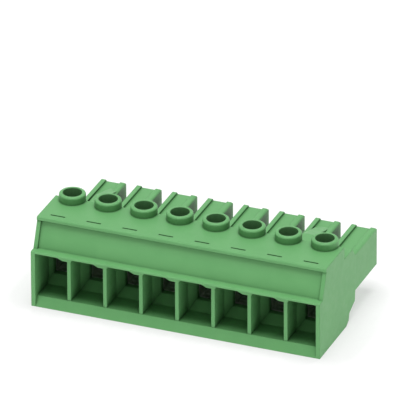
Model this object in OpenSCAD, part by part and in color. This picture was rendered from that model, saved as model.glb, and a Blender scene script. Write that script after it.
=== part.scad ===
// Pluggable terminal block with screw clamps: a moulded housing whose wire entries face the
// front and whose socket tongues face the rear, with a clamping cage, a clamping screw, a
// contact and a contact spring for each pole. It stands on its underside. X runs along the
// row, Y from the wire side to the plug side, Z up. Millimetres.

/* [Row] */
// Number of poles
poles = 8; // [3:1:8]
// Distance from one pole to the next
pitch = 7.62; // [7.5:0.02:8.6]
// Thickness of each end wall at the wire entries
end_wall = 0.87; // [0.6:0.01:1]
// Thickness of the walls between the wire entries
partition = 0.76; // [0.5:0.02:1.2]
// How far the walls between the entries lie behind the front face
partition_setback = 1.15; // [0.8:0.05:1.6]

/* [Housing outline] */
// Overall depth, wire side to the ends of the tongues
depth = 31.25; // [30:0.25:34]
// Height of the front face, up to the ledge
front_h = 12.1; // [11.8:0.1:12.6]
// Height of the ledge's front edge
ledge_h = 0.42; // [0.3:0.02:0.8]
// Depth of the ledge above the wire entries
ledge_d = 1.4; // [1:0.1:1.8]
// Setback of the top's front edge
lip_y = 3.3; // [3:0.1:3.8]
// Height of the lip under the top
lip_h = 0.75; // [0.5:0.05:1]
// How far the lip stands out from the slanting front
lip_overhang = 0.25; // [0.15:0.05:0.4]
// How far the slanting panel lies behind its end strips
panel_recess = 0.4; // [0.15:0.05:0.45]
// Height of the top face
top_z = 18.2; // [17.6:0.1:19]
// Depth of the top face
top_d = 9.9; // [9.5:0.1:10.3]
// Height of the shelf behind the top
shelf_z = 15.5; // [15.2:0.1:16]
// Depth of the shelf
shelf_d = 4.3; // [4:0.1:4.6]
// Depth of the block that carries the tongues
block_y = 19.3; // [19:0.1:19.8]
// Drop of the sloping edge behind the shelf
shelf_slope = 2.1; // [1.5:0.1:2.4]
// Depth of the foot that the block stands on
foot_d = 14.4; // [14:0.1:15]
// Radius of the moulded outer edges
edge_r = 0.3; // [0.15:0.05:0.4]

/* [Marker slots] */
// Length of the engraved line at each pole
mark_l = 3.07; // [2:0.1:5]
// Width of the engraved line
mark_w = 0.34; // [0.2:0.02:0.5]
// Depth of the engraved line
mark_d = 0.3; // [0.1:0.05:0.4]
// Distance of the engraved line from the top's front edge
mark_y = 1.7; // [1:0.1:3]

/* [Screw collars] */
// Distance of the screw axes from the front face
screw_y = 12.5; // [12.3:0.1:12.7]
// Outer diameter of the collars
collar_d = 5.38; // [5.2:0.02:6]
// Height of the collars above the top
collar_h = 1.65; // [1:0.05:2.5]
// Radius of the collars' rounded rim
collar_r = 0.4; // [0.2:0.05:0.5]
// Diameter of the screwdriver bores
driver_bore = 3.86; // [3.8:0.02:4.2]

/* [Wire entries] */
// Height of the sill at the entries
sill_z = 2; // [1.6:0.1:2.4]
// Depth at which the side walls start to close in
funnel_y = 6.1; // [5.5:0.1:6.8]
// Depth of the neck that the wire passes
throat_y = 8.2; // [7.9:0.1:8.4]
// Width of the neck
throat_w = 4.5; // [4.1:0.05:4.6]
// Sideways offset of the neck from the screw
throat_shift = -0.15; // [-0.2:0.05:0]
// Height of the neck
throat_h = 4.4; // [4.1:0.1:4.6]
// Height of the neck's floor
throat_z = 3.5; // [3.3:0.05:3.7]
// Width of the gusset on the left of each wall, under the ledge
gusset_l = 2.0; // [1.2:0.1:2.4]
// Width of the gusset on the right of each wall
gusset_r = 0.6; // [0.3:0.05:1]
// Height of the gussets
gusset_h = 0.6; // [0.3:0.05:1]
// Depth of the gussets
gusset_d = 3; // [2:0.1:4]

/* [Tongues] */
// Width of a tongue
tongue_w = 5.15; // [5:0.05:5.2]
// Sideways offset of the tongues from the screws
tongue_shift = 1.18; // [1:0.02:1.18]
// Height of the tongues' upper face
tongue_top = 13.7; // [13.5:0.1:14.1]
// Height of the tongues' underside
tongue_bottom = 5.6; // [5.3:0.1:5.8]
// Width of the left rib on a tongue
rib_l = 0.93; // [0.7:0.05:1.3]
// Width of the right rib on a tongue
rib_r = 1.15; // [0.7:0.05:1.3]
// Radius of the right rib's outer edge
rib_edge = 0.5; // [0.2:0.05:0.6]
// Depth of the channel between the ribs
channel_d = 0.5; // [0.3:0.05:0.7]
// Radius at the foot of the right rib
channel_r = 0.4; // [0.2:0.05:0.5]
// Width of the socket in a tongue
socket_w = 3.9; // [3.7:0.05:3.9]
// Thickness of the socket's upper and lower wall
socket_wall = 0.7; // [0.65:0.05:0.9]

/* [Keying lugs] */
// Width of the first keying lug
lug_w1 = 2.1; // [1.6:0.1:2.4]
// Width of the second keying lug
lug_w2 = 2.6; // [2:0.1:2.8]
// Length of a lug's level part behind the shelf
lug_flat = 3.2; // [2:0.1:4]
// Length of a lug's ramp
lug_ramp = 7.9; // [6:0.1:9]
// Place of the first lug, from its screw to the lug's left side
lug_first = 1.35; // [0.8:0.05:1.5]
// Place of the second lug, from its screw to the lug's left side
lug_second = -0.05; // [-0.4:0.05:0.6]

/* [Clamping cages] */
// Outer width of a cage
cage_w = 6; // [5.8:0.05:6.1]
// Length of a cage along the wire
cage_l = 5.8; // [5.4:0.1:5.8]
// Thickness of a cage's sides
cage_side = 0.6; // [0.5:0.02:0.7]
// Thickness of a cage's floor
cage_floor = 0.8; // [0.6:0.05:0.85]
// Thickness of a cage's threaded top
cage_top = 1.6; // [1.4:0.05:1.7]
// Largest wire that fits under the current bar
wire_gap = 4.4; // [4.2:0.05:4.5]
// Travel of a cage
cage_travel = 3; // [2:0.1:3]

/* [Clamping screws] */
// Thread diameter
thread_d = 3; // [2.5:0.1:3]
// Head diameter
head_d = 3.6; // [3.4:0.05:3.7]
// Head height
head_h = 2.2; // [1.6:0.1:2.6]
// Width of the driver slot
slot_w = 0.8; // [0.6:0.05:1]
// Depth of the driver slot
slot_d = 1.1; // [0.7:0.1:1.3]

/* [Contacts] */
// Width of the current bar
bar_w = 3.6; // [3.3:0.05:3.6]
// Thickness of the current bar, two layers of strip
bar_t = 0.8; // [0.7:0.05:1]
// Width of the socket fork
fork_w = 2.6; // [2.5:0.05:3]
// Gap between the fork's leaves where they grip a pin
pin_gap = 0.6; // [0.4:0.05:1]
// Distance of the fork's mouth from the tongue's end
fork_inset = 2.4; // [1:0.1:3]
// Distance of the spring's sleeve from the socket's root
spring_y = 2.6; // [2.4:0.1:3]
// Thickness of the spring sheet
spring_t = 0.2; // [0.2:0.01:0.3]
// Length of the spring's sleeve
spring_l = 2.2; // [2:0.1:3]

/* [Fits] */
// Clearance between a cage and its chamber, each side
cage_gap = 0.15; // [0.1:0.01:0.2]
// Running clearance of the screws, on the radius
screw_gap = 0.03; // [0.02:0.01:0.05]
// Clearance of the contacts and springs in their seats
seat_gap = 0.05; // [0.03:0.01:0.08]

/* [Hidden] */
$fn = 48;

row_w = poles * pitch;
cell_w = pitch - partition;
lip_z = top_z - lip_h;
slant_y = lip_y + lip_overhang;
rear_y = lip_y + top_d;
shelf_y = rear_y + shelf_d;
roof_z = front_h - ledge_h;
collar_top = top_z + collar_h;

bar_z = throat_z + throat_h;
bar_top = bar_z + bar_t;
cage_z = bar_z - wire_gap - cage_floor;
cage_lid_z = bar_top + 2 * seat_gap + 0.15;
cage_h = cage_lid_z + cage_top - cage_z;
chamber_z = cage_z - cage_gap;
chamber_top = cage_z + cage_h + cage_travel + cage_gap;
chamber_w = cage_w + 2 * cage_gap;
chamber_y0 = screw_y - cage_l / 2 - cage_gap;
chamber_y1 = screw_y + cage_l / 2 + cage_gap;
shoulder_t = 1.15;
seat_z = chamber_top + shoulder_t;
head_z = seat_z + screw_gap;

tongue_x0 = tongue_shift - tongue_w / 2;
tongue_x1 = tongue_shift + tongue_w / 2;
channel_z = tongue_top - channel_d;
socket_z0 = tongue_bottom + socket_wall;
socket_z1 = channel_z - socket_wall;
socket_y0 = shelf_y - 0.3;
pin_z = (socket_z0 + socket_z1) / 2;
bar_y0 = throat_y + 0.4;
fork_y1 = depth - fork_inset;

HOUSING_GREEN = [0.42, 0.68, 0.43];
PLATED_STEEL = [0.72, 0.72, 0.70];
TINNED_COPPER = [0.78, 0.74, 0.66];
SPRING_STEEL = [0.62, 0.63, 0.65];

function pole_x(i) = (i - (poles + 1) / 2) * pitch;

// Corner B between A and C, rounded with radius r in n steps
function corner(A, B, C, r, n = 5) =
    let (
        u = (A - B) / norm(A - B),
        v = (C - B) / norm(C - B),
        half = acos(u * v) / 2,
        centre = B + (u + v) / norm(u + v) * r / sin(half),
        p = B + u * r / tan(half) - centre,
        q = B + v * r / tan(half) - centre,
        a = atan2(p.y, p.x),
        turn = atan2(p.x * q.y - p.y * q.x, p * q)
    )
    [for (k = [0:n]) centre + r * [cos(a + turn * k / n), sin(a + turn * k / n)]];

// Outline from corners [x, y, radius], with the radius 0 for a sharp one
function rounded(c) =
    let (m = len(c))
    [for (k = [0:m - 1])
        let (
            A = [c[(k + m - 1) % m].x, c[(k + m - 1) % m].y],
            B = [c[k].x, c[k].y],
            C = [c[(k + 1) % m].x, c[(k + 1) % m].y]
        )
        each c[k][2] > 0 ? corner(A, B, C, c[k][2]) : [B]];

// Points beside a bent path, at the distance d to its left
function beside(path, d) =
    let (m = len(path))
    [for (k = [0:m - 1])
        let (
            a = path[max(k - 1, 0)],
            b = path[min(k + 1, m - 1)],
            u = (b - a) / norm(b - a)
        )
        path[k] + d * [-u.y, u.x]];

function reverse(list) = [for (k = [len(list) - 1:-1:0]) list[k]];

function from_second(list) = [for (k = [1:len(list) - 1]) list[k]];

// Outline of a bent strip of thickness t whose middle line passes the points
function strip(path, t) = concat(beside(path, t / 2), reverse(beside(path, -t / 2)));

// A (y, z) outline drawn out along X, from x0 to x1
module across(x0, x1) {
    translate([x0, 0, 0]) rotate([90, 0, 90]) linear_extrude(x1 - x0) children();
}

// An (x, z) outline drawn out along Y, from y0 to y1
module along(y0, y1) {
    translate([0, y1, 0]) rotate([90, 0, 0]) linear_extrude(y1 - y0) children();
}

// A block between two corners
module block(a, b) {
    translate(a) cube(b - a);
}

// Every piece is drawn from the front face, and the row's frame has its origin at mid depth
module in_frame() {
    translate([0, -depth / 2, 0]) children();
}

module at_pole(i) {
    translate([pole_x(i), 0, 0]) children();
}

module outer_outline() {
    polygon(rounded([
        [0, 0, 0],
        [0, front_h, edge_r],
        [ledge_d, front_h, 0],
        [slant_y, lip_z, 0],
        [lip_y, lip_z, 0],
        [lip_y, top_z, edge_r],
        [rear_y, top_z, edge_r / 2],
        [rear_y, shelf_z, 0],
        [shelf_y, shelf_z, edge_r],
        [block_y, shelf_z - shelf_slope, edge_r],
        [block_y, tongue_bottom, 0],
        [block_y - 0.2, throat_z, edge_r],
        [block_y - 3.2, throat_z - 1.3, edge_r],
        [block_y - 3.6, 0.8, 0],
        [foot_d, 0, 0]
    ]));
}

module tongue_outline() {
    right = tongue_x1 - rib_r;
    polygon(concat(
        [
            [tongue_x0, tongue_bottom],
            [tongue_x1, tongue_bottom]
        ],
        corner([tongue_x1, tongue_bottom], [tongue_x1, tongue_top], [right, tongue_top], rib_edge),
        [[right, tongue_top]],
        corner([right, tongue_top], [right - channel_r / 2, channel_z], [tongue_x0, channel_z], channel_r),
        [
            [tongue_x0 + rib_l, channel_z],
            [tongue_x0 + rib_l, tongue_top],
            [tongue_x0, tongue_top]
        ]
    ));
}

module tongue() {
    lead = 0.35;
    difference() {
        along(block_y - 2, depth) tongue_outline();
        across(tongue_x0 - 1, tongue_x1 + 1) polygon([
            [depth - lead, tongue_top + 0.01],
            [depth + 0.01, tongue_top + 0.01],
            [depth + 0.01, tongue_top - lead]
        ]);
    }
}

module collar() {
    translate([0, screw_y, 0]) rotate_extrude() polygon(rounded([
        [0, chamber_top, 0],
        [collar_d / 2, chamber_top, 0],
        [collar_d / 2, collar_top, collar_r],
        [0, collar_top, 0]
    ]));
}

// Bore for the driver and the head, with a narrower one for the thread below the seat
module screw_bore() {
    translate([0, screw_y, seat_z]) cylinder(d = driver_bore, h = collar_top - seat_z + 1);
    translate([0, screw_y, chamber_top - 0.5]) cylinder(d = thread_d + 0.4, h = shoulder_t + 1);
}

module lug(x, width) {
    across(x, x + width) polygon([
        [rear_y, channel_z - 0.3],
        [rear_y, shelf_z],
        [shelf_y + lug_flat, shelf_z],
        [shelf_y + lug_flat + lug_ramp, channel_z],
        [shelf_y + lug_flat + lug_ramp, channel_z - 0.3]
    ]);
}

// Gusset under the ledge, on both sides of a wall between two entries
module gusset() {
    half = partition / 2;
    along(0.2, partition_setback + gusset_d) polygon([
        [-half - gusset_l, roof_z + 0.1],
        [-half - gusset_l, roof_z],
        [-half - gusset_l / 3, roof_z - gusset_h],
        [half + gusset_r * 0.6, roof_z - gusset_h],
        [half + gusset_r, roof_z - gusset_h / 2],
        [half + gusset_r, roof_z + 0.1]
    ]);
}

// The space that runs in front of all the walls between the entries, over the sill
module front_recess() {
    side = row_w / 2 - end_wall;
    across(-side, side) polygon([
        [-1, 0.1],
        [0, 0.1],
        [partition_setback - 0.1, sill_z],
        [partition_setback, sill_z],
        [partition_setback, roof_z],
        [-1, roof_z]
    ]);
}

// One wire entry: a cell that narrows from all sides to the neck at the clamp
module wire_entry(i) {
    left = i == 1 ? end_wall - pitch / 2 : -cell_w / 2;
    right = i == poles ? pitch / 2 - end_wall : cell_w / 2;
    intersection() {
        across(left, right) polygon([
            [partition_setback - 0.3, sill_z],
            [funnel_y, sill_z],
            [throat_y, throat_z],
            [chamber_y0 + 0.5, throat_z],
            [chamber_y0 + 0.5, bar_z],
            [throat_y, bar_z],
            [funnel_y - 0.9, roof_z],
            [partition_setback - 0.3, roof_z]
        ]);
        linear_extrude(top_z) polygon([
            [-cell_w / 2, 0],
            [cell_w / 2, 0],
            [cell_w / 2, funnel_y],
            [throat_shift + throat_w / 2, throat_y],
            [throat_shift + throat_w / 2, chamber_y0 + 0.5],
            [throat_shift - throat_w / 2, chamber_y0 + 0.5],
            [throat_shift - throat_w / 2, throat_y],
            [-cell_w / 2, funnel_y]
        ]);
    }
}

// Where the cage slides, with the seats of the current bar in its front and rear wall
module cage_chamber() {
    block(
        [-chamber_w / 2, chamber_y0, chamber_z],
        [chamber_w / 2, chamber_y1, chamber_top]
    );
    block(
        [-bar_w / 2 - seat_gap, bar_y0 - seat_gap, bar_z],
        [bar_w / 2 + seat_gap, socket_y0 + 0.1, bar_top + seat_gap]
    );
}

module socket() {
    x0 = tongue_shift - socket_w / 2;
    chamfer = 0.3;
    block([x0, socket_y0, socket_z0], [x0 + socket_w, depth + 1, socket_z1]);
    across(x0, x0 + socket_w) polygon([
        [depth - chamfer, socket_z0],
        [depth + 0.01, socket_z0 - chamfer],
        [depth + 0.01, socket_z1 + chamfer],
        [depth - chamfer, socket_z1]
    ]);
}

module marker_slot() {
    y = lip_y + mark_y;
    block([-mark_l / 2, y - mark_w / 2, top_z - mark_d], [mark_l / 2, y + mark_w / 2, top_z + 1]);
}

// The slanting panel lies behind the strips at its two ends
module panel_recess_cut() {
    side = row_w / 2 - 0.82;
    across(-side, side) polygon([
        [ledge_d - 1, front_h],
        [ledge_d + panel_recess, front_h],
        [slant_y + panel_recess, lip_z],
        [slant_y - 1, lip_z]
    ]);
}

module housing() {
    color(HOUSING_GREEN) in_frame() difference() {
        union() {
            difference() {
                across(-row_w / 2, row_w / 2) outer_outline();
                panel_recess_cut();
                front_recess();
                for (i = [1:poles]) at_pole(i) wire_entry(i);
            }
            for (i = [1:poles - 1]) at_pole(i) translate([pitch / 2, 0, 0]) gusset();
            for (i = [1:poles]) at_pole(i) {
                tongue();
                collar();
            }
            at_pole(1) lug(lug_first, lug_w1);
            at_pole(poles - 1) lug(lug_second, lug_w2);
        }
        for (i = [1:poles]) at_pole(i) {
            cage_chamber();
            screw_bore();
            socket();
            marker_slot();
        }
    }
}

// Tension sleeve: a square tube with a threaded top and a ribbed floor
module clamp_cage(i) {
    r = 0.5;
    half = cage_w / 2;
    inner = half - cage_side;
    rib = 0.15;
    y0 = screw_y - cage_l / 2;
    y1 = screw_y + cage_l / 2;
    color(PLATED_STEEL) in_frame() at_pole(i) difference() {
        along(y0, y1) polygon(rounded([
            [-half, cage_z, r],
            [half, cage_z, r],
            [half, cage_z + cage_h, r],
            [-half, cage_z + cage_h, r]
        ]));
        along(y0 - 1, y1 + 1) polygon(rounded([
            [-inner, cage_z + cage_floor, 0.2],
            [inner, cage_z + cage_floor, 0.2],
            [inner, cage_lid_z, 0.2],
            [-inner, cage_lid_z, 0.2]
        ]));
        for (k = [-1:1]) across(-inner + 0.2, inner - 0.2) polygon([
            [screw_y + 1.4 * k - rib, cage_z + cage_floor + 0.01],
            [screw_y + 1.4 * k + rib, cage_z + cage_floor + 0.01],
            [screw_y + 1.4 * k, cage_z + cage_floor - rib]
        ]);
        block(
            [inner, y0 - 1, cage_z + cage_h - cage_top / 2 - 0.04],
            [half + 1, y1 + 1, cage_z + cage_h - cage_top / 2 + 0.04]
        );
        translate([0, screw_y, cage_lid_z - 1]) cylinder(d = thread_d + 2 * screw_gap, h = cage_top + 2);
    }
}

module clamp_screw(i) {
    tip = 0.4;
    tip_z = bar_top + screw_gap;
    color(PLATED_STEEL) in_frame() at_pole(i) translate([0, screw_y, 0]) difference() {
        rotate_extrude() polygon([
            [0, tip_z],
            [thread_d / 2 - tip, tip_z],
            [thread_d / 2, tip_z + tip],
            [thread_d / 2, head_z],
            [head_d / 2, head_z],
            [head_d / 2, head_z + head_h - 0.2],
            [head_d / 2 - 0.2, head_z + head_h],
            [0, head_z + head_h]
        ]);
        block(
            [-head_d, -slot_w / 2, head_z + head_h - slot_d],
            [head_d, slot_w / 2, head_z + head_h + 1]
        );
    }
}

// Middle lines of the fork's leaves, from the bar through the gripping point to the flared mouth
leaf_t = bar_t / 2;
grip_y = fork_y1 - 3.2;
grip = pin_gap / 2 + leaf_t / 2;
grip_run = 0.8;
splay = 0.9;
root_y = socket_y0 - 1;
splay_y = socket_y0 + 2.2;
lower_leaf = [
    [root_y, bar_z + leaf_t / 2],
    [socket_y0 + 1.2, bar_z + leaf_t / 2],
    [splay_y, pin_z - grip - splay],
    [grip_y - grip_run, pin_z - grip - 0.05],
    [grip_y, pin_z - grip],
    [grip_y + grip_run, pin_z - grip - 0.08],
    [fork_y1, pin_z - grip - splay]
];
upper_leaf = [
    [root_y, bar_top - leaf_t / 2],
    [socket_y0 + 0.6, bar_top - leaf_t / 2],
    [splay_y, pin_z + grip + splay],
    [grip_y - grip_run, pin_z + grip + 0.05],
    [grip_y, pin_z + grip],
    [grip_y + grip_run, pin_z + grip + 0.08],
    [fork_y1, pin_z + grip + splay]
];

// Current bar under the screw, and the two-leaved fork that takes the pin of the header
module contact(i) {
    x0 = tongue_shift - fork_w / 2;
    x1 = tongue_shift + fork_w / 2;
    step = socket_y0 + seat_gap;
    color(TINNED_COPPER) in_frame() at_pole(i) intersection() {
        across(-pitch, pitch) polygon(concat(
            [[bar_y0, bar_top - 0.2], [bar_y0, bar_z + 0.2], [bar_y0 + 0.2, bar_z]],
            beside(lower_leaf, -leaf_t / 2),
            reverse(from_second(beside(lower_leaf, leaf_t / 2))),
            from_second(beside(upper_leaf, -leaf_t / 2)),
            reverse(beside(upper_leaf, leaf_t / 2)),
            [[bar_y0 + 0.2, bar_top]]
        ));
        linear_extrude(top_z) polygon([
            [-bar_w / 2, bar_y0],
            [bar_w / 2, bar_y0],
            [bar_w / 2, step],
            [x1, step],
            [x1, fork_y1],
            [x0, fork_y1],
            [x0, step - 2 * seat_gap],
            [-bar_w / 2, step - 2 * seat_gap]
        ]);
    }
}

// Sleeve of spring sheet round the fork's root, with an arm on each leaf
module contact_spring(i) {
    half = fork_w / 2 + seat_gap;
    y0 = socket_y0 + spring_y;
    y1 = y0 + spring_l;
    rise = grip + leaf_t / 2 + splay + seat_gap;
    arm = [
        [y1 - 0.5, pin_z + rise + spring_t / 2],
        [y1 + 0.3, pin_z + rise + spring_t / 2],
        [grip_y, pin_z + grip + leaf_t / 2 + spring_t / 2 + seat_gap],
        [grip_y + 0.7, pin_z + grip + leaf_t / 2 + spring_t / 2 + 0.3]
    ];
    color(SPRING_STEEL) in_frame() at_pole(i) translate([tongue_shift, 0, 0]) {
        difference() {
            block([-half - spring_t, y0, pin_z - rise - spring_t], [half + spring_t, y1, pin_z + rise + spring_t]);
            block([-half, y0 - 1, pin_z - rise], [half, y1 + 1, pin_z + rise]);
        }
        across(-fork_w / 3, fork_w / 3) {
            polygon(strip(arm, spring_t));
            translate([0, 2 * pin_z]) mirror([0, 1]) polygon(strip(arm, spring_t));
        }
    }
}

housing();
for (i = [1:poles]) {
    clamp_cage(i);
    clamp_screw(i);
    contact(i);
    contact_spring(i);
}
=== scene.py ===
import math

import bpy
from mathutils import Matrix, Vector


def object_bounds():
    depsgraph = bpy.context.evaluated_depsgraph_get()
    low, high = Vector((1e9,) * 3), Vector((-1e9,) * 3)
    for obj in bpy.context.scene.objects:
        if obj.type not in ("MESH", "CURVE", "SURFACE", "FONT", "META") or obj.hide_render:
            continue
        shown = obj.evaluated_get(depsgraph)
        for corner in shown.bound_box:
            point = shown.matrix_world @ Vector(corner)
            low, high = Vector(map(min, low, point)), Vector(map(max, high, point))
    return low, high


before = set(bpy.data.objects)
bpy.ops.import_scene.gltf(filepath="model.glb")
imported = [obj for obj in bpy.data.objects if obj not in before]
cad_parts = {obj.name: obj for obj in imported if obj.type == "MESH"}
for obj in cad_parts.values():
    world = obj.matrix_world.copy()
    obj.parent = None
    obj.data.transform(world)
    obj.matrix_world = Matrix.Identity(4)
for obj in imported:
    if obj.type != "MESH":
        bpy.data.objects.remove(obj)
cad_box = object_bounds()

MM = 0.001

# Green moulded plastic: its colour, the faint darker patches, and the painted shade it falls to in enclosed
# places.
GREEN = (0.138, 0.372, 0.140)
GREEN_PATCH = (0.129, 0.357, 0.132)
PAINTED_SHADE_GREEN = (0.004, 0.022, 0.004)
# Specular level in the open, and where painted shade dims it in enclosed places.
SHINE_OPEN, SHINE_IN_PAINTED_SHADE = 0.22, 0.02
EDGE_RADIUS = 0.2 * MM
GRAIN_DEPTH = 0.012 * MM
GRAIN_STRENGTH = 0.06

# Painted shade in enclosed places: reach, openness that counts as closed and as open, tone left where
# closed.
HOLLOW_PAINTED_SHADE = (8.0 * MM, 0.0, 0.62, 0.16)
CREASE_PAINTED_SHADE = (0.5 * MM, 0.35, 1.0, 0.7)
GROOVE_PAINTED_SHADE = (3.0 * MM, 0.4, 0.98, 0.78)
SHADE_SAMPLES = 8

# Noise scales, in cycles for each metre, and the band that most noise values lie in.
PATCH_SCALE = 260.0
GLOSS_SCALE = 900.0
SPECK_SCALE = 3800.0
PLATING_SCALE = 700.0
PATCH_BAND = (0.35, 0.65)
GLOSS_BAND = (0.3, 0.7)

# Metals.
ROUGHNESS_SPREAD = 0.08
STREAK_STRENGTH = 0.3

# Floor and world: what the camera sees is kept apart from what lights the object.
WORLD_FILL = 0.25
BOUNCE = 0.45
FLOOR_WHITE = 0.92
FLOOR_WHITE_SEEN = 0.32
# The floor's painted shadow: occlusion reach, the openness band it is read over, the glow from closed to
# open, and samples.
FLOOR_SHADE_REACH = 9.0 * MM
FLOOR_SHADE_BAND = (0.88, 1.0)
FLOOR_GLOW = (0.575, 0.72)
FLOOR_SHADE_SAMPLES = 16
FLOOR_SIZE = 4.0
FLOOR_GAP = 0.02 * MM

# Camera, in degrees, millimetres and image pixels.
VIEW_AZIMUTH, VIEW_ELEVATION, VIEW_ROLL = 21.903, 27.504, 0.2738
VIEW_DISTANCE = 1800.0
AIM = (0.0, -3.625, 9.0)
AIM_OFFSET = (1.3642, 11.9894)
PIXELS_PER_MM = 5.08494
IMAGE_SIDE = 408
SENSOR_WIDTH = 36.0
CLIP_START, CLIP_END = 0.05, 20.0


# ---------------------------------------------------------------- node helpers
def new_material(name):
    material = bpy.data.materials.new(name)
    material.use_nodes = True
    tree = material.node_tree
    tree.nodes.clear()
    return material, tree


def node(tree, kind, inputs=None, **settings):
    """A shader node; each input is a number, a colour or the socket that it is linked from."""
    made = tree.nodes.new(kind)
    for key, value in settings.items():
        setattr(made, key, value)
    for key, value in (inputs or {}).items():
        socket = made.inputs[key]
        if isinstance(value, bpy.types.NodeSocket):
            tree.links.new(value, socket)
        else:
            socket.default_value = value
    return made


def math_node(tree, operation, a, b):
    return node(tree, "ShaderNodeMath", {0: a, 1: b}, operation=operation).outputs["Value"]


def noise(tree, vector, scale, detail):
    made = node(tree, "ShaderNodeTexNoise", {
        "Vector": vector, "Scale": scale, "Detail": detail, "Roughness": 0.5,
    })
    return made.outputs["Fac"]


def remap(tree, value, from_low, from_high, to_low, to_high):
    made = node(tree, "ShaderNodeMapRange", {
        "Value": value, "From Min": from_low, "From Max": from_high,
        "To Min": to_low, "To Max": to_high,
    })
    return made.outputs["Result"]


def mix_colour(tree, factor, a, b):
    made = node(tree, "ShaderNodeMix", data_type="RGBA")
    sockets = [s for s in made.inputs if s.type == "RGBA"]
    for socket, value in zip(sockets, (a, b)):
        if isinstance(value, bpy.types.NodeSocket):
            tree.links.new(value, socket)
        else:
            socket.default_value = (*value, 1.0)
    tree.links.new(factor, made.inputs["Factor"])
    return [s for s in made.outputs if s.type == "RGBA"][0]


def object_place(tree):
    return node(tree, "ShaderNodeTexCoord").outputs["Object"]


def stretched(tree, coordinates, scale):
    return node(tree, "ShaderNodeMapping", {"Vector": coordinates, "Scale": scale}).outputs["Vector"]


def rounded_bump(tree, edge, samples, height, strength, depth):
    """Normals with edges rounded to a radius and a fine relief on top."""
    soft = node(tree, "ShaderNodeBevel", {"Radius": edge}, samples=samples).outputs["Normal"]
    return node(tree, "ShaderNodeBump", {
        "Strength": strength, "Distance": depth, "Height": height, "Normal": soft,
    }).outputs["Normal"]


def backdrop_ray(tree):
    """1 for the rays that show the backdrop: camera, glossy and transmission rays."""
    path = node(tree, "ShaderNodeLightPath")
    seen = math_node(tree, "MAXIMUM", path.outputs["Is Camera Ray"], path.outputs["Is Glossy Ray"])
    return math_node(tree, "MAXIMUM", seen, path.outputs["Is Transmission Ray"])


def finish_surface(tree, shader, output="ShaderNodeOutputMaterial"):
    tree.links.new(shader, node(tree, output).inputs["Surface"])


# ---------------------------------------------------------------- materials
def nearby_shade(tree, reach, closed, opened, painted_shade_tone):
    """1 in the open, falling to tone where the piece itself closes the surface in within reach."""
    openness = node(
        tree, "ShaderNodeAmbientOcclusion", {"Distance": reach},
        samples=SHADE_SAMPLES, only_local=True).outputs["AO"]
    return remap(tree, openness, closed, opened, painted_shade_tone, 1.0)


def moulded_plastic(name, colour, patch_colour):
    """Satin moulded plastic: rounded edges, a fine grain, faint patches, and painted shade that darkens its
    colour and dims its shine in enclosed places.
    """
    material, tree = new_material(name)
    place = object_place(tree)
    patch = remap(tree, noise(tree, place, PATCH_SCALE, 3.0), *PATCH_BAND, 0.0, 1.0)
    base = mix_colour(tree, patch, patch_colour, colour)
    # Painted shade: occlusion within the piece darkens the colour towards a deep green in hollows, creases
    # and grooves, and dims the shine there.
    hollow_shade = nearby_shade(tree, *HOLLOW_PAINTED_SHADE)
    crease_shade = nearby_shade(tree, *CREASE_PAINTED_SHADE)
    groove_shade = nearby_shade(tree, *GROOVE_PAINTED_SHADE)
    painted_shade_tone = math_node(tree, "MULTIPLY", math_node(tree, "MULTIPLY", hollow_shade, crease_shade), groove_shade)
    base = mix_colour(tree, painted_shade_tone, PAINTED_SHADE_GREEN, base)
    gloss = remap(tree, noise(tree, place, GLOSS_SCALE, 3.0), *GLOSS_BAND, 0.40, 0.50)
    shine = remap(tree, painted_shade_tone, 0.0, 1.0, SHINE_IN_PAINTED_SHADE, SHINE_OPEN)
    speck = noise(tree, place, SPECK_SCALE, 2.0)
    normal = rounded_bump(tree, EDGE_RADIUS, 6, speck, GRAIN_STRENGTH, GRAIN_DEPTH)
    shader = node(tree, "ShaderNodeBsdfPrincipled", {
        "Base Color": base, "Roughness": gloss, "IOR": 1.5, "Normal": normal,
        "Specular IOR Level": shine,
    })
    finish_surface(tree, shader.outputs["BSDF"])
    return material


def drawn_metal(name, colour, patch_colour, streak_scale, rough, edge, depth):
    """Plated or drawn metal: long fine streaks and a slightly uneven plating."""
    material, tree = new_material(name)
    place = object_place(tree)
    streak = noise(tree, stretched(tree, place, streak_scale), 1.0, 3.0)
    patch = remap(tree, noise(tree, place, PLATING_SCALE, 3.0), *PATCH_BAND, 0.0, 1.0)
    base = mix_colour(tree, patch, patch_colour, colour)
    gloss = remap(tree, streak, *GLOSS_BAND, rough - ROUGHNESS_SPREAD, rough + ROUGHNESS_SPREAD)
    normal = rounded_bump(tree, edge, 4, streak, STREAK_STRENGTH, depth)
    shader = node(tree, "ShaderNodeBsdfPrincipled", {
        "Base Color": base, "Roughness": gloss, "Metallic": 1.0, "Normal": normal,
    })
    finish_surface(tree, shader.outputs["BSDF"])
    return material


# The key is the start of a node's name. contact_spring stands before contact, which it also starts with.
FINISHES = {
    "housing": moulded_plastic("green_polyamide", GREEN, GREEN_PATCH),
    "clamp_cage": drawn_metal(
        "plated_steel", (0.66, 0.66, 0.63), (0.56, 0.57, 0.56),
        (9000.0, 700.0, 9000.0), 0.34, 0.06 * MM, 0.006 * MM),
    "clamp_screw": drawn_metal(
        "turned_steel", (0.68, 0.66, 0.61), (0.58, 0.57, 0.54),
        (2500.0, 2500.0, 12000.0), 0.3, 0.05 * MM, 0.006 * MM),
    "contact_spring": drawn_metal(
        "spring_sheet", (0.55, 0.56, 0.57), (0.48, 0.49, 0.51),
        (7000.0, 700.0, 7000.0), 0.28, 0.04 * MM, 0.004 * MM),
    "contact": drawn_metal(
        "tinned_copper", (0.70, 0.66, 0.58), (0.62, 0.57, 0.48),
        (6000.0, 600.0, 6000.0), 0.38, 0.05 * MM, 0.005 * MM),
}
for name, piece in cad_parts.items():
    kind = next(k for k in FINISHES if name.startswith(k))
    piece.data.materials.clear()
    piece.data.materials.append(FINISHES[kind])


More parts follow.
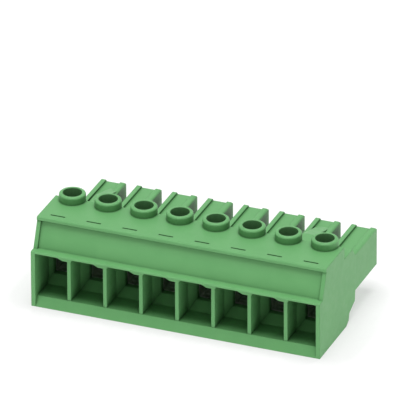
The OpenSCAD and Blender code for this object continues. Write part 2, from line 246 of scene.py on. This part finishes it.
# ---------------------------------------------------------------- floor and backdrop
def floor_material():
    """White floor: a glow darkened near the object paints its shadow, and its own diffuse shading adds a
    real one. Clear from below.
    """
    material, tree = new_material("white_floor")
    seen = backdrop_ray(tree)
    openness = node(
        tree, "ShaderNodeAmbientOcclusion", {"Distance": FLOOR_SHADE_REACH},
        samples=FLOOR_SHADE_SAMPLES).outputs["AO"]
    # Painted shadow: the glow that the camera sees is dimmed by occlusion near the object.
    glow_with_painted_shadow = remap(tree, openness, *FLOOR_SHADE_BAND, *FLOOR_GLOW)
    strength = node(tree, "ShaderNodeMix", {
        "Factor": seen, "A": BOUNCE, "B": glow_with_painted_shadow,
    }).outputs["Result"]
    white = remap(tree, seen, 0.0, 1.0, FLOOR_WHITE, FLOOR_WHITE_SEEN)
    glow = node(tree, "ShaderNodeEmission", {"Color": (1, 1, 1, 1), "Strength": strength})
    matte = node(tree, "ShaderNodeBsdfDiffuse", {"Color": white})
    both = node(tree, "ShaderNodeAddShader")
    tree.links.new(glow.outputs["Emission"], both.inputs[0])
    tree.links.new(matte.outputs["BSDF"], both.inputs[1])
    clear = node(tree, "ShaderNodeBsdfTransparent")
    below = node(tree, "ShaderNodeNewGeometry").outputs["Backfacing"]
    sided = node(tree, "ShaderNodeMixShader", {"Fac": below})
    tree.links.new(both.outputs["Shader"], sided.inputs[1])
    tree.links.new(clear.outputs["BSDF"], sided.inputs[2])
    finish_surface(tree, sided.outputs["Shader"])
    return material


def make_floor():
    half = FLOOR_SIZE / 2
    corners = [(-half, -half, 0), (half, -half, 0), (half, half, 0), (-half, half, 0)]
    mesh = bpy.data.meshes.new("floor")
    mesh.from_pydata(corners, [], [(0, 1, 2, 3)])
    mesh.materials.append(floor_material())
    made = bpy.data.objects.new("floor", mesh)
    made.location.z = cad_box[0].z - FLOOR_GAP
    bpy.context.scene.collection.objects.link(made)
    return made


def make_world():
    """White where it is seen, weak where it lights the object."""
    world = bpy.data.worlds.new("studio")
    world.use_nodes = True
    tree = world.node_tree
    tree.nodes.clear()
    strength = remap(tree, backdrop_ray(tree), 0.0, 1.0, WORLD_FILL, 1.0)
    sky = node(tree, "ShaderNodeBackground", {"Color": (1, 1, 1, 1), "Strength": strength})
    finish_surface(tree, sky.outputs["Background"], "ShaderNodeOutputWorld")
    bpy.context.scene.world = world


floor = make_floor()
make_world()


# ---------------------------------------------------------------- lamps
def sun(name, azimuth, elevation, strength, softness):
    """A distant lamp; azimuth 0 comes from -Y and 90 from +X. Angles are in degrees."""
    lamp = bpy.data.lights.new(name, "SUN")
    lamp.energy = strength
    lamp.angle = math.radians(softness)
    made = bpy.data.objects.new(name, lamp)
    a, e = math.radians(azimuth), math.radians(elevation)
    towards = Vector((math.sin(a) * math.cos(e), -math.cos(a) * math.cos(e), math.sin(e)))
    made.rotation_mode = "QUATERNION"
    made.rotation_quaternion = towards.to_track_quat("Z", "Y")
    bpy.context.scene.collection.objects.link(made)


sun("overhead", 10.0, 87.0, 2.95, 34.0)
sun("key", 12.0, 22.0, 0.2, 50.0)


# ---------------------------------------------------------------- camera
def make_camera():
    """Looks at AIM, shifted sideways and up by AIM_OFFSET, from far enough for a nearly flat perspective."""
    azimuth, elevation = math.radians(VIEW_AZIMUTH), math.radians(VIEW_ELEVATION)
    roll = math.radians(VIEW_ROLL)
    right = Vector((math.cos(azimuth), math.sin(azimuth), 0.0))
    ahead = Vector((
        -math.sin(azimuth) * math.cos(elevation),
        math.cos(azimuth) * math.cos(elevation),
        -math.sin(elevation)))
    up = right.cross(ahead)
    aim = Vector(AIM) + right * AIM_OFFSET[0] + up * AIM_OFFSET[1]
    place = (aim - ahead * VIEW_DISTANCE) * MM
    across = right * math.cos(roll) - up * math.sin(roll)
    upward = right * math.sin(roll) + up * math.cos(roll)
    turn = Matrix((across, upward, -ahead)).transposed()

    lens = bpy.data.cameras.new("camera")
    lens.sensor_width = SENSOR_WIDTH
    lens.lens = PIXELS_PER_MM * VIEW_DISTANCE / IMAGE_SIDE * SENSOR_WIDTH
    lens.clip_start = CLIP_START
    lens.clip_end = CLIP_END
    made = bpy.data.objects.new("camera", lens)
    made.matrix_world = Matrix.Translation(place) @ turn.to_4x4()
    bpy.context.scene.collection.objects.link(made)
    return made


bpy.context.scene.camera = make_camera()
bpy.context.scene.view_settings.view_transform = "Standard"
